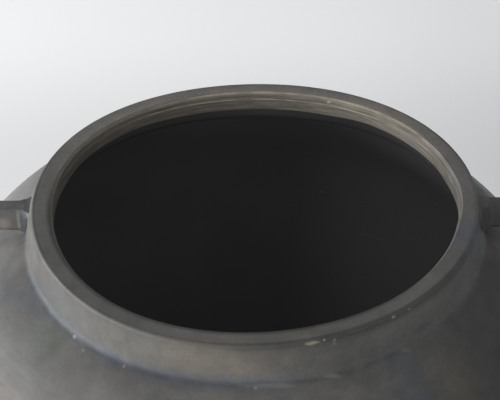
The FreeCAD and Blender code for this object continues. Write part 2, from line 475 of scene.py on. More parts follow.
# Hand work: what makes the vase less than perfectly round

def polar(point):
    """Radius, turn in degrees and height of a point."""
    return math.hypot(point.x, point.y), math.degrees(math.atan2(point.y, point.x)), point.z


def fade(value, low, high):
    """0 below low, 1 above high, smooth between."""
    share = min(max((value - low) / (high - low), 0.0), 1.0)
    return share * share * (3 - 2 * share)


def wear_edge(vase):
    """Moves the edge between face and bevel outwards along the far side of the mouth."""
    edit(vase)
    for start, end, wear in WORN_EDGE:
        pick(vase, "verts", lambda vert: vert.co.z > HEIGHT - TOUCH / 2
             and polar(vert.co)[0] < FACE_INNER + 0.0009 and start < polar(vert.co)[1] < end)
        wider = 1 + wear / FACE_INNER
        bpy.ops.transform.resize(value=(wider, wider, 1), center_override=(0, 0, HEIGHT))
    # the ledge in the lip runs out to the left and along the front
    pick(vase, "verts", lambda vert: HEIGHT - LEDGE - 0.0005 < vert.co.z < HEIGHT - LEDGE + 0.0002
         and polar(vert.co)[0] < LIP_RADIUS + 0.001
         and not LEDGE_ENDS[0] < polar(vert.co)[1] < LEDGE_ENDS[1])
    bpy.ops.mesh.vertices_smooth(factor=0.5, repeat=4, zaxis=False)
    leave()


def out_of_round(turn):
    """How far the rim stands out in a direction."""
    return (OVAL * math.cos(2 * (turn - OVAL_TURN))
            + THREE_CORNERED * math.cos(3 * (turn - THREE_TURN))
            + FOUR_CORNERED * math.cos(4 * (turn - FOUR_TURN)))


def rim_push(point):
    """How far a point of the rim, collar or ear roots is pushed sideways."""
    turn = math.atan2(point.y, point.x)
    share = fade(point.z, *PUSH_HEIGHTS) * fade(PUSH_END - abs(point.x), 0.0, PUSH_FADE)
    out = out_of_round(turn)
    return Vector((RIM_SHIFT + out * math.cos(turn), out * math.sin(turn), 0.0)) * share


def push_rim(vase):
    """Moves rim and collar by the push, one direction at a time."""
    for axis, name in enumerate("XY"):
        for way in (1, -1):
            group = group_by_place(vase, "rim", lambda point: way * rim_push(point)[axis] / PUSH)
            finish_with(vase, "DISPLACE", "rim_pushed", direction=name, strength=way * PUSH,
                        mid_level=0.0, vertex_group=group)
            vase.vertex_groups.clear()


def group_by_place(vase, name, weight_of):
    """A vertex group weighted by place."""
    group = vase.vertex_groups.new(name=name)
    for vert in vase.data.vertices:
        weight = weight_of(vert.co)
        if weight > 0.0:
            group.add([vert.index], min(weight, 1.0), "REPLACE")
    return name


def clouds(name, size):
    texture = bpy.data.textures.new(name, "CLOUDS")
    texture.noise_scale = size
    texture.noise_depth = 2
    return texture


def near_ear_root(point):
    """Round the ears' roots, below the rim's face."""
    radius, _, height = polar(point)
    inside = EAR_ROOT_SIDE - abs(point.y)
    if inside < 0.0 or height < EAR_TOP - EAR_BAR - 0.003 or radius < RIM_RADIUS - 0.0008:
        return 0.0
    return (fade(HEIGHT - height, 0.0012, 0.0022) * fade(inside, 0.0, 0.002)
            * fade(RIM_RADIUS + EAR_ROOT_REACH - radius, 0.0, 0.003))


def near_ear_landing(point):
    """Where the ears' legs meet the shoulder."""
    landing = Vector((math.copysign(EAR_LANDING_RADIUS, point.x), 0.0, EAR_LANDING_HEIGHT))
    if abs(point.x) < LIP_RADIUS:
        return 0.0
    return fade(EAR_LANDING_REACH - (point - landing).length, 0.0, 0.006)


def seam_weight(point):
    """A line under the rim, at the front right."""
    radius, turn, height = polar(point)
    middle = CREASE_HEIGHT + (HEIGHT - RIM_EDGE - CREASE_HEIGHT) * SEAM_ROW
    if radius < RIM_RADIUS - 0.002 or abs(height - middle) > 0.0002:
        return 0.0
    return fade(turn, -84.0, -60.0) * fade(-turn, -4.0, 14.0)


def mouth_right_weight(point):
    """The mouth reaches a little further out beside the right ear."""
    radius, turn, height = polar(point)
    if radius > LIP_RADIUS + 0.0040 or height < LIP_BOTTOM - 0.003:
        return 0.0
    return (0.35 * fade(turn, -75.0, -45.0) * fade(-turn, -42.0, -18.0)
            + 0.65 * fade(turn, -16.0, -2.0) * fade(-turn, -18.0, -3.0))


def crease_weight(point):
    """Along the crease at the collar's foot."""
    radius, _, height = polar(point)
    if radius < CREASE_RADIUS - 0.0015:
        return 0.0
    return fade(0.0014 - abs(height - CREASE_HEIGHT), 0.0, 0.0010)


def lip_edge_weight(point):
    """The lip's lower edge runs a little higher at the back right, and less so at the left."""
    radius, turn, height = polar(point)
    if radius > LIP_RADIUS + 0.001 or abs(height - LIP_BOTTOM) > 0.0006:
        return 0.0
    return (fade(turn, 10.0, 30.0) * fade(-turn, -68.0, -48.0)
            + 0.5 * fade(turn, 108.0, 128.0) * fade(-turn, -165.0, -150.0))


def left_bead_weight(point):
    """A smoothed bead between the rim's edge and the left ear."""
    radius, _, height = polar(point)
    if point.x > 0.0 or radius < RIM_RADIUS - 0.0012 or radius > CREASE_RADIUS + 0.002:
        return 0.0
    return (fade(height, CREASE_HEIGHT, CREASE_HEIGHT + 0.006) * fade(HEIGHT - height, 0.0012, 0.0032)
            * fade(0.034 - abs(point.y), 0.0, 0.024))


def hand_weight(point):
    """All over, but not on the rim's face and the foot."""
    return fade(point.z, FOOT_HEIGHT, 0.03) * fade(HEIGHT - point.z, 0.0, 0.002)


def displace(vase, name, weight_of, strength, mid_level=0.0, **settings):
    """Moves the vase's surface where the weight picks it out."""
    finish_with(vase, "DISPLACE", name, strength=strength, mid_level=mid_level,
                vertex_group=group_by_place(vase, name, weight_of), **settings)


def roughen(vase, name, weight_of, strength, mid_level, size):
    """Moves the vase's surface unevenly, in patches of a size."""
    displace(vase, name, weight_of, strength, mid_level, texture=clouds(name, size),
             texture_coords="LOCAL")


def work_by_hand(vase):
    displace(vase, "lip_edge", lip_edge_weight, LIP_EDGE_RISE, direction="Z")
    displace(vase, "mouth_right", mouth_right_weight, MOUTH_RIGHT_REACH, direction="X")
    displace(vase, "left_bead", left_bead_weight, -LEFT_BEAD_REACH, direction="X")
    displace(vase, "seam_under_rim", seam_weight, -SEAM_DEPTH)
    roughen(vase, "bead_in_crease", crease_weight, *CREASE_BEAD)
    roughen(vase, "ragged_roots", lambda point: max(near_ear_root(point), near_ear_landing(point)),
            *RAGGED_ROOTS)
    roughen(vase, "hand_worked", hand_weight, *HAND_WORKED)
    vase.vertex_groups.clear()


# Shared effects for the finishes

def new_group(name, inputs, outputs):
    """A node group with its sockets; returns the tree, its input node and its output node."""
    tree = bpy.data.node_groups.new(name, "ShaderNodeTree")
    kinds = {"value": "NodeSocketFloat", "vector": "NodeSocketVector"}
    for socket, kind, default in inputs:
        made = tree.interface.new_socket(name=socket, in_out="INPUT", socket_type=kinds[kind])
        made.default_value = default
    for socket, kind in outputs:
        tree.interface.new_socket(name=socket, in_out="OUTPUT", socket_type=kinds[kind])
    return tree, tree.nodes.new("NodeGroupInput"), tree.nodes.new("NodeGroupOutput")


class Bench:
    """Adds and joins nodes in one tree."""

    def __init__(self, tree):
        self.tree = tree

    def add(self, kind, settings=None, **inputs):
        node = self.tree.nodes.new(kind)
        for key, value in (settings or {}).items():
            setattr(node, key, value)
        for key, value in inputs.items():
            self.feed(node.inputs[key.replace("_", " ")], value)
        return node

    def feed(self, socket, value):
        if isinstance(value, bpy.types.NodeSocket):
            self.tree.links.new(value, socket)
        else:
            socket.default_value = value

    def sum(self, operation, first, second=0.0, third=0.0):
        node = self.tree.nodes.new("ShaderNodeMath")
        node.operation = operation
        for socket, value in zip(node.inputs, (first, second, third)):
            self.feed(socket, value)
        return node.outputs[0]

    def ramp(self, value, low, high, to_low=0.0, to_high=1.0):
        node = self.tree.nodes.new("ShaderNodeMapRange")
        node.interpolation_type = "SMOOTHSTEP"
        for key, given in (("Value", value), ("From Min", low), ("From Max", high),
                           ("To Min", to_low), ("To Max", to_high)):
            self.feed(node.inputs[key], given)
        return node.outputs[0]

    def blend(self, share, first, second, way="MIX"):
        node = self.tree.nodes.new("ShaderNodeMix")
        node.data_type = "RGBA"
        node.blend_type = way
        node.clamp_factor = True
        self.feed(node.inputs[0], share)
        self.feed(node.inputs[6], first)
        self.feed(node.inputs[7], second)
        return node.outputs[2]

    def all_of(self, *masks):
        total = masks[0]
        for mask in masks[1:]:
            total = self.sum("MULTIPLY", total, mask)
        return total

    def place(self):
        """Where a point lies on the piece, in Object coordinates."""
        return self.add("ShaderNodeTexCoord").outputs["Object"]

    def parts(self, vector):
        return self.add("ShaderNodeSeparateXYZ", Vector=vector).outputs

    def group(self, tree, **inputs):
        node = self.tree.nodes.new("ShaderNodeGroup")
        node.node_tree = tree
        for key, value in inputs.items():
            self.feed(node.inputs[key.replace("_", " ")], value)
        return node.outputs


def place_on_turning():
    """Where a point lies on the vase before its rim was pushed: direction, radius and height."""
    tree, _, out = new_group("place_on_turning", [], [("Direction", "vector"), ("Radius", "value"),
                                                       ("Height", "value")])
    bench = Bench(tree)
    x, y, height = bench.parts(bench.place())
    share = bench.ramp(height, *PUSH_HEIGHTS)
    x = bench.sum("SUBTRACT", x, bench.sum("MULTIPLY", share, RIM_SHIFT))
    squares = bench.sum("ADD", bench.sum("MULTIPLY", x, x), bench.sum("MULTIPLY", y, y))
    away = bench.sum("SQRT", squares)
    turn = bench.sum("ARCTAN2", y, x)
    out_here = 0.0
    for waves, size, peak in ((2, OVAL, OVAL_TURN), (3, THREE_CORNERED, THREE_TURN),
                              (4, FOUR_CORNERED, FOUR_TURN)):
        wave = bench.sum("COSINE", bench.sum("MULTIPLY_ADD", turn, waves, -waves * peak))
        out_here = bench.sum("MULTIPLY_ADD", wave, size, out_here)
    radius = bench.sum("SUBTRACT", away, bench.sum("MULTIPLY", share, out_here))
    safe = bench.sum("MAXIMUM", away, 0.001)
    way = bench.add("ShaderNodeCombineXYZ", X=bench.sum("DIVIDE", x, safe),
                    Y=bench.sum("DIVIDE", y, safe)).outputs[0]
    for key, value in (("Direction", way), ("Radius", radius), ("Height", height)):
        bench.feed(out.inputs[key], value)
    return tree


def turning_marks(place):
    """Fine lines that run round the piece, 0 to 1."""
    tree, given, out = new_group("turning_marks", [("Round", "value", 6.0), ("Across", "value", 900.0),
                                                   ("Detail", "value", 2.0)], [("Lines", "value")])
    bench = Bench(tree)
    where = bench.group(place)
    parts = bench.parts(where["Direction"])
    x = bench.sum("MULTIPLY", parts[0], given.outputs["Round"])
    y = bench.sum("MULTIPLY", parts[1], given.outputs["Round"])
    z = bench.sum("MULTIPLY", where["Height"], given.outputs["Across"])
    w = bench.sum("MULTIPLY", where["Radius"], given.outputs["Across"])
    vector = bench.add("ShaderNodeCombineXYZ", X=x, Y=y, Z=z).outputs[0]
    noise = bench.add("ShaderNodeTexNoise", {"noise_dimensions": "4D"}, Vector=vector, W=w, Scale=1.0,
                      Detail=given.outputs["Detail"], Roughness=0.6)
    bench.feed(out.inputs["Lines"], noise.outputs["Fac"])
    return tree


def patches():
    """Soft cloudy patches, 0 to 1, of a given size."""
    tree, given, out = new_group("patches", [("Scale", "value", 20.0), ("Detail", "value", 4.0),
                                             ("Shift", "value", 0.0), ("Low", "value", 0.4),
                                             ("High", "value", 0.6)], [("Mask", "value")])
    bench = Bench(tree)
    noise = bench.add("ShaderNodeTexNoise", {"noise_dimensions": "4D"}, Vector=bench.place(),
                      W=given.outputs["Shift"], Scale=given.outputs["Scale"],
                      Detail=given.outputs["Detail"], Roughness=0.55)
    mask = bench.ramp(noise.outputs["Fac"], given.outputs["Low"], given.outputs["High"])
    bench.feed(out.inputs["Mask"], mask)
    return tree


def band():
    """1 between two values, with soft ends."""
    tree, given, out = new_group("band", [("Value", "value", 0.0), ("Low", "value", 0.0),
                                          ("High", "value", 1.0), ("Soft", "value", 0.0002)],
                                 [("Mask", "value")])
    bench = Bench(tree)
    value, low, high, soft = (given.outputs[key] for key in ("Value", "Low", "High", "Soft"))
    rising = bench.ramp(value, bench.sum("SUBTRACT", low, soft), bench.sum("ADD", low, soft))
    falling = bench.ramp(value, bench.sum("SUBTRACT", high, soft), bench.sum("ADD", high, soft),
                         1.0, 0.0)
    bench.feed(out.inputs["Mask"], bench.sum("MULTIPLY", rising, falling))
    return tree


def spot():
    """1 at a point of the piece, fading out over a size in each direction."""
    tree, given, out = new_group("spot", [("Centre", "vector", (0, 0, 0)),
                                          ("Size", "vector", (0.001, 0.001, 0.001)),
                                          ("Ragged", "value", 0.9)], [("Mask", "value")])
    bench = Bench(tree)
    point = bench.place()
    away = bench.add("ShaderNodeVectorMath", {"operation": "SUBTRACT"})
    bench.feed(away.inputs[0], point)
    bench.feed(away.inputs[1], given.outputs["Centre"])
    scaled = bench.add("ShaderNodeVectorMath", {"operation": "DIVIDE"})
    bench.feed(scaled.inputs[0], away.outputs[0])
    bench.feed(scaled.inputs[1], given.outputs["Size"])
    length = bench.add("ShaderNodeVectorMath", {"operation": "LENGTH"})
    bench.feed(length.inputs[0], scaled.outputs[0])
    uneven = bench.add("ShaderNodeTexNoise", Vector=point, Scale=900.0, Detail=2.0).outputs["Fac"]
    ragged = bench.sum("MULTIPLY", bench.sum("SUBTRACT", uneven, 0.5), given.outputs["Ragged"])
    reach = bench.sum("ADD", length.outputs["Value"], ragged)
    bench.feed(out.inputs["Mask"], bench.ramp(reach, 0.35, 1.15, 1.0, 0.0))
    return tree


def grey(level, warm=0.0):
    """A near grey, warmer or, below zero, bluer."""
    return (level * (1 + warm), level, level * (1 - warm), 1.0)


# Colours of the patina, and of the light and shade painted on it. A pair is blended by a pattern, and a
# shade multiplies what is there.
GROUND_GREYS = (grey(0.082, 0.02), grey(0.106, 0.04))
GROUND_SHADE = (1.005, 1.0, 0.972, 1.0)
# painted sheen on the shoulder behind the left ear
BACK_LEFT_SHEEN_GREYS = (grey(0.165, 0.03), grey(0.200, 0.03))
# worn brown, paler with painted sheen
WORN_BROWNS_AND_SHEEN = (grey(0.117, 0.06), grey(0.157, 0.12))
FRONT_INNER_PAINTED_SHADE = (0.36, 0.34, 0.32, 1.0)
LEFT_TANS = ((0.110, 0.099, 0.083, 1.0), (0.172, 0.154, 0.127, 1.0))
RIGHT_TANS_WITH_PAINTED_LIGHT = ((0.104, 0.093, 0.075, 1.0), (0.194, 0.177, 0.148, 1.0))
FAR_RIGHT_TAN_PAINTED_SHADE = (0.70, 0.71, 0.74, 1.0)
BEVEL_GOLD = (0.345, 0.308, 0.240, 1.0)
LEDGE_HIGHLIGHT_GOLD = (0.262, 0.234, 0.186, 1.0)
COLLAR_FOOT_PAINTED_SHADE = (0.79, 0.79, 0.80, 1.0)
CREASE_BLUE_SHADE = (0.76, 0.87, 1.03, 1.0)
CREASE_PAINTED_SHADOW = (0.72, 0.76, 0.84, 1.0)
CREASE_SMUDGE_SHADE = (0.76, 0.81, 0.93, 1.0)
BEAD_HIGHLIGHT_GREYS = (grey(0.104, -0.01), grey(0.134, -0.01))
RAGGED_EDGE_COLOUR = (0.135, 0.145, 0.125, 1.0)
LEFT_BAR_WEAR_AND_GLINT = grey(0.165, 0.16)
SHOULDER_RUB_COLOUR = grey(0.112, 0.05)

# Where the patina and its painted light and shade change: a value at which a mask is 0 and one at which
# it is 1
LIP_SIDE = (0.0868, 0.0862)
LIP_HEIGHTS = (LIP_BOTTOM - 0.001, LIP_BOTTOM - 0.0005)
HIGH_SHOULDER = (0.196, 0.236)
BACK_LEFT_HEIGHTS = (0.222, 0.242)
COLLAR_TOP_SHADE = (0.2650, 0.2684)
FAR_LEFT_TOP_SHADE = (0.2652, 0.2690)
BAR_SIDE = (0.0085, 0.0065)

# Bands of height: from where, to where and how soft
LEDGE_BAND = (HEIGHT - LEDGE - 0.0005, HEIGHT - LEDGE + 0.0001, 0.00015)
SEAM_SHADOW_BAND = (0.2664, 0.2682, 0.0006)
CREASE_BLUE_BAND = (CREASE_HEIGHT - 0.0010, CREASE_HEIGHT + 0.0022, 0.0012)
CREASE_SHADOW_BAND = (CREASE_HEIGHT - 0.0009, CREASE_HEIGHT + 0.0001, 0.0004)
CREASE_SMUDGE_BAND = (CREASE_HEIGHT - 0.0020, CREASE_HEIGHT + 0.0008, 0.0010)
LEFT_BAR_BAND = (0.2580, 0.2630, 0.0020)

# Heights from which painted shade darkens the rim's edge, on the left and on the right
EDGE_FROM_LEFT = 0.2687
EDGE_FROM_RIGHT = 0.2674

# Ear roots, left and right: which way, how far past the rim the dark joint starts, its colour of dark
# patina with painted shade, and how much of the painted highlight on the bead and of the ragged light
# edge shows
EAR_ROOTS = (
    (-1, 0.0020, (0.036, 0.038, 0.045, 1.0), 0.9, 1.0),
    (1, 0.0012, (0.046, 0.046, 0.049, 1.0), 0.1, 0.3),
)

# Paler rubs on the shoulder at the front left: middle and reach
SHOULDER_RUB = ((-0.100, -0.092, 0.232), (0.030, 0.024, 0.030))

# Colours of the inside: two cloudy greys low down, painted light on the right and high on the left, and
# painted shade high on the right and under the lip
INSIDE_GREYS = ((0.138, 0.136, 0.140, 1.0), (0.166, 0.164, 0.170, 1.0))
INSIDE_RIGHT_PAINTED_LIGHT = (0.245, 0.242, 0.250, 1.0)
INSIDE_LEFT_TOP_PAINTED_LIGHT = (0.215, 0.213, 0.220, 1.0)
INSIDE_RIGHT_TOP_PAINTED_SHADE = (0.165, 0.164, 0.171, 1.0)
UNDER_LIP_PAINTED_SHADE = ((0.105, 0.104, 0.108, 1.0), (0.048, 0.047, 0.050, 1.0))
UNDER_LIP_HEIGHTS = (0.2485, 0.2530)
SCRATCH_COLOUR = (0.34, 0.34, 0.35, 1.0)
SPECK_COLOUR = (0.36, 0.36, 0.37, 1.0)


def new_material(name):
    material = bpy.data.materials.new(name)
    material.use_nodes = True
    return material, material.node_tree.nodes["Principled BSDF"]


def on_vase(turn, radius, height):
    """A place on the rim, collar or crease, by direction in degrees, radius and height."""
    turn = math.radians(turn)
    point = Vector((radius * math.cos(turn), radius * math.sin(turn), height))
    return point + rim_push(point)


class PatinaWithPaintedLight(Bench):
    """The dark patina, with painted light and shade on it, while it is built up.

    It knows where a point lies (its direction from the axis as shares to the right and to the
    back, its place to the right and to the back in metres, its radius and height), the patterns
    that several parts share, and the colour so far.
    """

    def __init__(self, tree, place, marks, cloudy, window, speck):
        super().__init__(tree)
        self.marks, self.cloudy, self.window, self.speck = marks, cloudy, window, speck
        where = self.group(place)
        self.radius, self.height = where["Radius"], where["Height"]
        self.way_right, self.way_back, _ = self.parts(where["Direction"])
        self.right, self.back, _ = self.parts(self.place())
        self.mottle = self.cloud(150.0, 5.0, 0.25, 0.75, 6.0)
        self.grain = self.cloud(700.0, 2.0, 0.3, 0.7, 3.0)
        self.lines = self.turned(7.0, 1500.0)
        self.behind = self.to_back(-0.1, 0.7)
        self.not_far_left = self.to_right(-0.985, -0.90)

    def cloud(self, scale, shift, low, high, detail=4.0):
        """Cloudy patches, with a new pattern for each shift."""
        return self.group(self.cloudy, Scale=scale, Shift=shift, Low=low, High=high,
                          Detail=detail)["Mask"]

    def turned(self, scale, across, detail=2.0):
        """Lines from turning, or with nothing across, only what changes on the way round."""
        return self.group(self.marks, Round=scale, Across=across, Detail=detail)["Lines"]

    def to_right(self, low, high, *ends):
        """A mask by direction, between two shares to the right of the axis."""
        return self.ramp(self.way_right, low, high, *ends)

    def to_back(self, low, high, *ends):
        """The same towards the back."""
        return self.ramp(self.way_back, low, high, *ends)

    def up(self, low, high, *ends):
        """A mask by height."""
        return self.ramp(self.height, low, high, *ends)

    def out(self, low, high, *ends):
        """A mask by radius."""
        return self.ramp(self.radius, low, high, *ends)

    def level(self, low, high, soft):
        """A band of height."""
        return self.ring(self.height, low, high, soft)

    def ring(self, value, low, high, soft):
        """A band of any value, with soft ends."""
        return self.group(self.window, Value=value, Low=low, High=high, Soft=soft)["Mask"]

    def vary(self, pattern, share):
        """A shade that a pattern takes from a little under 1 to a little over it."""
        return self.blend(pattern, grey(1 - share), grey(1 + share))

    def paint(self, mask, colour):
        self.colour = self.blend(mask, self.colour, colour)

    def shade(self, mask, times):
        self.colour = self.blend(mask, self.colour, times, "MULTIPLY")

    def ground(self):
        """Two dark greys, three soft tints, a mottle, two finer grains and lines from turning."""
        self.colour = self.blend(self.cloud(22.0, 0.0, 0.35, 0.65), *GROUND_GREYS)
        for shift, scale, low, high, tint in TINTS:
            self.paint(self.cloud(scale, shift, low, high), tint)
        fine = self.cloud(1500.0, 13.0, 0.25, 0.75, 2.0)
        for pattern, share in ((self.mottle, 0.14), (self.grain, 0.05), (fine, 0.04),
                               (self.lines, 0.16)):
            self.shade(1.0, self.vary(pattern, share))
        self.shade(1.0, GROUND_SHADE)

    def shoulder(self):
        """Painted shade darkens shoulder and ear on the right, away from the light; a painted sheen
        makes the shoulder behind the left ear paler.
        """
        past_crease = self.out(CREASE_RADIUS, CREASE_RADIUS + 0.003)
        uneven_height = self.sum("MULTIPLY_ADD", self.mottle, 0.010, self.height)
        # painted shade on the shoulder and ear on the right, stronger again at the front right
        on_right = self.all_of(past_crease, self.ramp(self.right, 0.050, 0.105),
                               self.ramp(self.back, 0.060, 0.010),
                               self.ramp(uneven_height, *HIGH_SHOULDER))
        self.shade(on_right, grey(0.62))
        self.shade(self.all_of(on_right, self.ramp(self.back, -0.015, -0.055)), grey(0.72))
        # painted sheen: the shoulder behind the left ear is paler
        back_left_sheen = self.all_of(past_crease, self.ramp(self.right, -0.070, -0.098),
                                self.ramp(self.back, 0.000, 0.022),
                                self.ramp(self.back, 0.085, 0.045),
                                self.up(*BACK_LEFT_HEIGHTS))
        self.paint(back_left_sheen, self.blend(self.mottle, *BACK_LEFT_SHEEN_GREYS))

    def rim_face(self):
        """Worn brownish, paler as a painted sheen, towards the mouth at the back; painted shade darkens
        the rounded edge along the mouth in front.
        """
        on_face = self.all_of(self.up(HEIGHT - 0.0012, HEIGHT - 0.0004),
                              self.out(FACE_INNER - 0.0006, FACE_INNER - 0.0002))
        beside_mouth = self.out(FACE_INNER + 0.0001, FACE_INNER + 0.0022, 1.0, 0.0)
        # painted shade on the rounded inner edge of the face, in front
        front_inner_shade = self.all_of(on_face, beside_mouth, self.to_back(0.35, -0.10),
                                  self.to_right(0.82, 0.50, 0.1, 1.0))
        self.shade(front_inner_shade, FRONT_INNER_PAINTED_SHADE)
        self.face_behind = self.all_of(on_face, self.behind)
        # worn brown, made paler by painted sheen at the back of the face
        worn = self.all_of(self.face_behind, self.out(FACE_INNER - 0.0002, FACE_INNER + 0.0004),
                           self.out(FACE_INNER + 0.0070, FACE_INNER + 0.0005, 0.45, 1.0))
        brown = self.blend(self.mottle, *WORN_BROWNS_AND_SHEEN)
        self.paint(worn, self.blend(1.0, brown, self.vary(self.grain, 0.16), "MULTIPLY"))

    def lip(self):
        """Tan streaks, paler on the right as painted light and dimmed by painted shade at the far right
        and on the bevel's right, a bright worn bevel and a painted highlight on the ledge below it.
        """
        inside = self.all_of(self.out(*LIP_SIDE),
                             self.up(HEIGHT - 0.0003, HEIGHT - 0.0001, 1.0, 0.0))
        on_lip = self.all_of(inside, self.up(*LIP_HEIGHTS))
        streaks = self.ramp(self.turned(7.0, 1600.0, 3.0), 0.36, 0.64)
        # the tan is paler on the right as painted light, where the lip faces the light
        tan = self.blend(self.to_right(-0.5, 0.8), self.blend(streaks, *LEFT_TANS),
                         self.blend(streaks, *RIGHT_TANS_WITH_PAINTED_LIGHT))
        # painted shade at the far right of the lip
        far_right = self.all_of(self.to_right(0.84, 0.95), self.to_back(0.52, 0.32))
        tan = self.blend(far_right, tan, FAR_RIGHT_TAN_PAINTED_SHADE, "MULTIPLY")
        # painted shade on the bevel at the right
        bevel_right_shade = self.all_of(self.up(HEIGHT - 0.0018, HEIGHT - 0.0011),
                                  self.to_right(0.50, 0.80))
        self.paint(on_lip, self.blend(bevel_right_shade, tan, grey(0.76), "MULTIPLY"))
        broken = self.turned(9.0, 0.0, 4.0)
        on_bevel = self.all_of(inside, self.behind, self.up(HEIGHT - 0.0007, HEIGHT - 0.0004),
                               self.ramp(broken, 0.34, 0.62, 0.35, 1.0),
                               self.to_right(-0.75, 0.1, 0.5, 1.0),
                               self.to_right(0.95, 0.80, 0.2, 1.0),
                               self.to_right(0.35, 0.70, 1.0, 0.6))
        self.paint(on_bevel, BEVEL_GOLD)
        # painted highlight along the step of the ledge
        ledge_highlight = self.all_of(inside, self.level(*LEDGE_BAND), self.to_back(0.60, 0.90),
                               self.ramp(broken, 0.40, 0.60, 0.25, 0.9))
        self.paint(ledge_highlight, LEDGE_HIGHLIGHT_GOLD)
        # the finest grain is on the lip and on the face behind the mouth
        finest = self.cloud(2300.0, 9.0, 0.25, 0.75, 2.0)
        self.shade(self.sum("MAXIMUM", self.face_behind, on_lip), self.vary(finest, 0.18))

    def rim_edge_shade(self):
        """Painted shade darkens the rim's outer edge, the collar's top and, on the left, its foot, and
        a painted shadow darkens the seam under the rim at the front right.
        """
        outer_edge = self.out(RIM_RADIUS - 0.0020, RIM_RADIUS - 0.0014)
        not_far_right = self.to_right(0.975, 0.88, 0.1, 1.0)
        # painted shade on the collar's top
        collar_top_shade = self.all_of(outer_edge, self.up(*COLLAR_TOP_SHADE),
                                 self.to_right(-0.40, 0.10), not_far_right)
        self.shade(collar_top_shade, grey(0.84))
        # painted shade on the rounded outer edge
        edge_start = self.to_right(-0.45, 0.05, EDGE_FROM_LEFT, EDGE_FROM_RIGHT)
        edge = self.all_of(outer_edge, not_far_right,
                           self.up(edge_start, self.sum("ADD", edge_start, 0.0010)))
        self.shade(edge, self.blend(self.to_right(-0.85, -0.30), grey(0.72), grey(0.76)))
        # painted shadow along the seam under the rim
        seam = self.all_of(outer_edge, self.level(*SEAM_SHADOW_BAND),
                           self.to_right(0.25, 0.55), self.to_back(0.1, -0.1))
        self.shade(seam, grey(0.84))
        # painted shade at the top of the collar on the far left
        far_left_top_shade = self.all_of(outer_edge, self.up(*FAR_LEFT_TOP_SHADE),
                                   self.to_right(-0.88, -0.97))
        self.shade(far_left_top_shade, grey(0.76))
        # painted shade at the collar's foot on the left
        collar_foot_shade = self.all_of(self.out(CREASE_RADIUS - 0.0040, CREASE_RADIUS - 0.0034),
                                  self.up(CREASE_HEIGHT + 0.0090, CREASE_HEIGHT + 0.0012),
                                  self.to_right(0.0, -0.35), self.not_far_left)
        self.shade(collar_foot_shade, COLLAR_FOOT_PAINTED_SHADE)

    def crease(self):
        """Bluish patina on the left, with a broken painted shadow, bluish like the patina, just below
        it and a smudge in front.
        """
        outer = self.out(CREASE_RADIUS - 0.0028, CREASE_RADIUS - 0.0022)
        less_far_left = self.ramp(self.not_far_left, 0.0, 1.0, 0.2, 1.0)
        gaps = self.turned(14.0, 0.0, 3.0)
        bluish = self.all_of(self.level(*CREASE_BLUE_BAND), outer, less_far_left,
                             self.to_right(0.30, -0.10), self.ramp(gaps, 0.3, 0.6, 0.6, 1.0),
                             self.ramp(self.mottle, 0.10, 0.65, 0.45, 1.0))
        self.shade(bluish, CREASE_BLUE_SHADE)
        # painted shadow just below the crease, in the patina's bluish tone
        crease_shadow = self.all_of(self.level(*CREASE_SHADOW_BAND), outer, less_far_left,
                                self.ramp(gaps, 0.35, 0.6, 1.0, 0.3))
        self.shade(crease_shadow, CREASE_PAINTED_SHADOW)
        smudge = self.all_of(self.level(*CREASE_SMUDGE_BAND), outer,
                             self.to_right(-0.70, -0.50), self.to_right(0.20, -0.05),
                             self.ramp(self.mottle, 0.15, 0.60, 0.5, 1.0),
                             self.ramp(gaps, 0.30, 0.60, 0.5, 1.0))
        self.shade(smudge, CREASE_SMUDGE_SHADE)

    def ear_roots(self):
        """A painted highlight on the bead at the left, dark joints to the collar with painted shade in
        their recess, ragged light edges, a painted shadow under the bars, and worn tan with a painted
        glint on the left bar.
        """
        uneven_right = self.sum("MULTIPLY_ADD", self.grain, 0.0016, self.right)
        beside_bar = self.ramp(self.sum("ABSOLUTE", self.back), *BAR_SIDE)
        bar_foot = EAR_TOP - EAR_BAR
        for way, joint_start, joint_and_shade_colour, bead_highlight_share, edge_share in EAR_ROOTS:
            on_root = self.all_of(beside_bar, self.ramp(self.right, 0.0, way * 0.01))
            # painted highlight on the bead, strong on the lit left
            bead = self.all_of(on_root, bead_highlight_share,
                               self.ring(self.radius, RIM_RADIUS - 0.0006, RIM_RADIUS + 0.0018, 0.0012),
                               self.level(EAR_TOP - 0.0016, HEIGHT - 0.0011, 0.0006))
            self.paint(bead, self.blend(self.mottle, *BEAD_HIGHLIGHT_GREYS))
            joint_from, joint_to = RIM_RADIUS + joint_start, RIM_RADIUS + 0.0050
            # dark patina, darkened further as painted shade in the recess between ear and collar
            joint = self.all_of(on_root, self.ring(self.radius, joint_from, joint_to, 0.0007),
                                self.level(bar_foot + 0.0003, EAR_TOP - 0.0002, 0.0005))
            self.paint(joint, joint_and_shade_colour)
            root = on_vase(0.0 if way > 0 else 180.0, RIM_RADIUS, EAR_TOP - EAR_BAR / 2)
            edge_at = root.x + way * 0.0055 + 0.0008
            ragged = self.all_of(self.ring(uneven_right, edge_at - 0.0003, edge_at + 0.0003, 0.0003),
                                 self.level(bar_foot, EAR_TOP - 0.0016, 0.0016),
                                 self.ramp(self.back, 0.0, -0.002),
                                 self.ramp(self.mottle, 0.2, 0.7, 0.4, 1.0), edge_share)
            self.paint(ragged, RAGGED_EDGE_COLOUR)
        # painted shadow under the bar
        shadow_under_bar = self.all_of(beside_bar, self.out(RIM_RADIUS + 0.0035, RIM_RADIUS + 0.0050),
                                self.level(bar_foot - 0.0004, bar_foot + 0.0010, 0.0004))
        self.shade(shadow_under_bar, grey(0.62))
        # worn tan on the left bar's front, paler as a painted glint near its lower edge
        left_bar_wear_and_glint = self.all_of(self.ramp(self.right, -0.0945, -0.0985), self.level(*LEFT_BAR_BAND),
                               self.ramp(self.mottle, 0.2, 0.8, 0.5, 0.9))
        self.paint(left_bar_wear_and_glint, LEFT_BAR_WEAR_AND_GLINT)

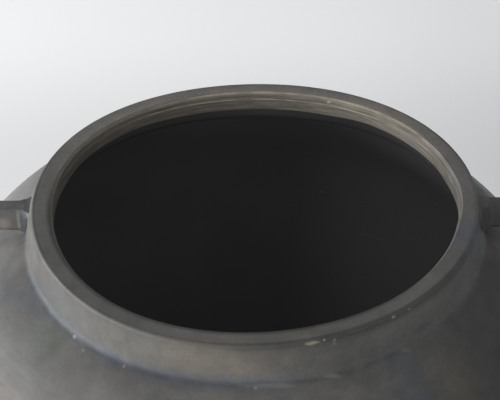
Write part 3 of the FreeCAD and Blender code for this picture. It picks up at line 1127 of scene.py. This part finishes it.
    def nicks_and_rubs(self):
        """Nicks, specks, soft patches of painted light and shade with a few tints, and rubs on the
        shoulder.
        """
        for turn, away, up, size, tone in MARKS:
            self.paint(self.group(self.speck, Centre=on_vase(turn, away, up), Size=size)["Mask"], tone)
        # soft patches of painted light and shade, a few of them tints or darker patina
        for middle, reach, stays in LIGHT_SHADE_AND_TINT_PATCHES:
            self.shade(self.group(self.speck, Centre=middle, Size=reach, Ragged=0.2)["Mask"], stays)
        middle, reach = SHOULDER_RUB
        rub = self.group(self.speck, Centre=middle, Size=reach)["Mask"]
        self.paint(self.all_of(rub, self.ramp(self.lines, 0.42, 0.62), 0.4), SHOULDER_RUB_COLOUR)

    def surface(self, shader):
        """Sends colour, roughness and the fine relief to the shader."""
        self.feed(shader.inputs["Base Color"], self.colour)
        self.feed(shader.inputs["Roughness"], self.ramp(self.lines, 0.2, 0.8, 0.54, 0.68))
        shader.inputs["Metallic"].default_value = 0.15
        turned = self.add("ShaderNodeBump", Strength=0.10, Distance=0.0002, Height=self.lines)
        mottled = self.add("ShaderNodeBump", Strength=0.15, Distance=0.0003, Height=self.mottle,
                           Normal=turned.outputs[0])
        self.feed(shader.inputs["Normal"], mottled.outputs[0])


def patina_finish(*effects):
    """Dark patina with cloudy tints, a tan worn lip and a bluish crease, with painted light and shade.
    """
    material, shader = new_material("dark_patina_with_painted_light")
    patina = PatinaWithPaintedLight(material.node_tree, *effects)
    patina.ground()
    patina.shoulder()
    patina.rim_face()
    patina.lip()
    patina.rim_edge_shade()
    patina.crease()
    patina.ear_roots()
    patina.nicks_and_rubs()
    patina.surface(shader)
    return material


def inside_finish(cloudy, window, speck):
    """The dull dark inside, with painted light on the right and high on the left, painted shade high on
    the right and under the lip, and a scratch and specks.
    """
    material, shader = new_material("dull_dark_inside_painted_light")
    bench = Bench(material.node_tree)
    right, _, height = bench.parts(bench.place())
    colour = bench.blend(bench.group(cloudy, Scale=12.0, Low=0.3, High=0.7)["Mask"], *INSIDE_GREYS)
    # painted light on the right and high on the left, painted shade high on the right and under the lip
    on_right = bench.all_of(bench.ramp(right, 0.01, 0.075), bench.ramp(height, 0.04, 0.17, 0.4, 1.0))
    left_top = bench.all_of(bench.ramp(right, 0.04, -0.04), bench.ramp(height, 0.19, 0.24))
    right_top = bench.all_of(bench.ramp(right, -0.02, 0.05), bench.ramp(height, 0.215, 0.245))
    under_lip = bench.ramp(height, *UNDER_LIP_HEIGHTS)
    under_lip_colour = bench.blend(bench.ramp(right, 0.0, 0.05), *UNDER_LIP_PAINTED_SHADE)
    for mask, tone in ((on_right, INSIDE_RIGHT_PAINTED_LIGHT), (left_top, INSIDE_LEFT_TOP_PAINTED_LIGHT),
                       (right_top, INSIDE_RIGHT_TOP_PAINTED_SHADE), (under_lip, under_lip_colour)):
        colour = bench.blend(mask, colour, tone)
    level = bench.group(window, Value=height, Low=SCRATCH_HEIGHT - SCRATCH_HALF,
                        High=SCRATCH_HEIGHT + SCRATCH_HALF, Soft=SCRATCH_HALF)["Mask"]
    near = bench.group(speck, Centre=SCRATCH_MIDDLE, Size=SCRATCH_REACH)["Mask"]
    colour = bench.blend(bench.all_of(level, near), colour, SCRATCH_COLOUR)
    for place in INNER_SPECKS:
        dot = bench.group(speck, Centre=place, Size=SPECK_SIZE)["Mask"]
        colour = bench.blend(dot, colour, SPECK_COLOUR)
    bench.feed(shader.inputs["Base Color"], colour)
    shader.inputs["Roughness"].default_value = 0.85
    shader.inputs["Specular IOR Level"].default_value = 0.15
    return material


def wall_middle(height):
    """Radius of the middle of the wall at a height."""
    if height > CREASE_HEIGHT - 0.003:
        return CREASE_RADIUS - WALL / 2
    if height > belly_height:
        centre, radius = shoulder, SHOULDER_RADIUS
    elif height > belly_height - FLANK_RADIUS * math.sin(flank_turn):
        centre, radius = flank_centre, FLANK_RADIUS
    else:
        centre, radius = lower_body()
    return centre.x + math.sqrt((radius - WALL / 2) ** 2 - (height - centre.z) ** 2)


def in_hollow(face):
    """Whether a face is of the wall's inside or the floor, below the lip."""
    away, _, height = polar(face.calc_center_median())
    return FLOOR - 0.0006 < height < LIP_BOTTOM + 0.0003 and away < wall_middle(height)


def dress(vase):
    place = place_on_turning()
    marks = turning_marks(place)
    cloudy, window, speck = patches(), band(), spot()
    take(vase)
    vase.data.materials.clear()
    vase.data.materials.append(patina_finish(place, marks, cloudy, window, speck))
    vase.data.materials.append(inside_finish(cloudy, window, speck))
    edit(vase)
    pick(vase, "faces", in_hollow)
    vase.active_material_index = 1
    bpy.ops.object.material_slot_assign()
    leave()


# The vase

def make_vase():
    vase = turn_body()
    right_ear = make_ear()
    left_ear = copy_turned(right_ear, math.pi)
    join_solid(vase, right_ear, "right_ear_on")
    join_solid(vase, left_ear, "left_ear_on")
    dress(vase)
    wear_edge(vase)
    work_by_hand(vase)
    push_rim(vase)
    take(vase)
    bpy.ops.object.shade_smooth_by_angle(angle=SMOOTH_ANGLE)
    settle(vase)
    vase.name = "double_ear_vase"
    return vase


vase = make_vase()
print("vase: faces", len(vase.data.polygons),
      "size", [round(side / MM, 2) for side in vase.dimensions])
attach(vase, "root")
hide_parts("vase")

# Floor, light and camera

def lay_floor():
    """A pale paper floor, paler towards the back as painted light and a little greyer at the back right
    as painted shadow.
    """
    deselect_everything()
    bpy.ops.mesh.primitive_plane_add(size=FLOOR_SIZE, location=(0, 0, 0))
    floor = bpy.context.object
    floor.name = "pale_floor"
    material, shader = new_material("pale_paper_painted_shade")
    bench = Bench(material.node_tree)
    right, back, _ = bench.parts(bench.place())
    # painted light: paler towards the back; painted shadow at the back right
    paper = bench.blend(bench.ramp(back, 0.40, 0.62), *PAPER_GREYS_PAINTED_LIGHT)
    shadow_back_right = bench.all_of(bench.ramp(right, 0.05, 0.24), bench.ramp(back, 0.30, 0.85, 1.0, 0.25))
    bench.feed(shader.inputs["Base Color"], bench.blend(shadow_back_right, paper, PAPER_PAINTED_SHADOW, "MULTIPLY"))
    shader.inputs["Roughness"].default_value = 0.9
    floor.data.materials.append(material)
    return floor


def add_camera():
    data = bpy.data.cameras.new("photo_view")
    camera = bpy.data.objects.new("photo_view", data)
    bpy.context.scene.collection.objects.link(camera)
    data.sensor_width = SENSOR_WIDTH
    data.lens = FOCAL_PIXELS / PHOTO_WIDTH * SENSOR_WIDTH
    data.shift_x = -(RIM_CENTRE_PIXEL[0] - PHOTO_WIDTH / 2) / PHOTO_WIDTH
    data.shift_y = (RIM_CENTRE_PIXEL[1] - PHOTO_HEIGHT / 2) / PHOTO_WIDTH
    rim_centre = Vector((RIM_SHIFT, 0.0, HEIGHT))
    place = rim_centre + VIEW_DISTANCE * Vector((0, -math.cos(VIEW_DOWN), math.sin(VIEW_DOWN)))
    aim = (rim_centre - place).to_track_quat("-Z", "Y").to_matrix().to_4x4()
    camera.matrix_world = Matrix.Translation(place) @ aim @ Matrix.Rotation(-VIEW_ROLL, 4, "Z")
    bpy.context.scene.camera = camera


def add_panel(name, place, width, height, power):
    """A soft light panel that faces the vase."""
    data = bpy.data.lights.new(name, "AREA")
    data.shape = "RECTANGLE"
    data.size = width
    data.size_y = height
    data.energy = power
    lamp = bpy.data.objects.new(name, data)
    bpy.context.scene.collection.objects.link(lamp)
    lamp.location = place
    lamp.rotation_euler = (Vector(LIT_PLACE) - Vector(place)).to_track_quat("-Z", "Y").to_euler()


def light_room():
    """An even room light; the camera sees a paler room than the vase does."""
    world = bpy.data.worlds.new("room")
    bpy.context.scene.world = world
    world.use_nodes = True
    bench = Bench(world.node_tree)
    background = world.node_tree.nodes["Background"]
    seen = bench.add("ShaderNodeLightPath").outputs["Is Camera Ray"]
    on_vase_grey, seen_grey = (grey(level, warm) for level, warm in ROOM_GREYS)
    bench.feed(background.inputs["Color"], bench.blend(seen, on_vase_grey, seen_grey))


pale_floor = lay_floor()
add_camera()
for panel in PANELS:
    add_panel(*panel)
light_room()
bpy.context.scene.view_settings.view_transform = "Standard"
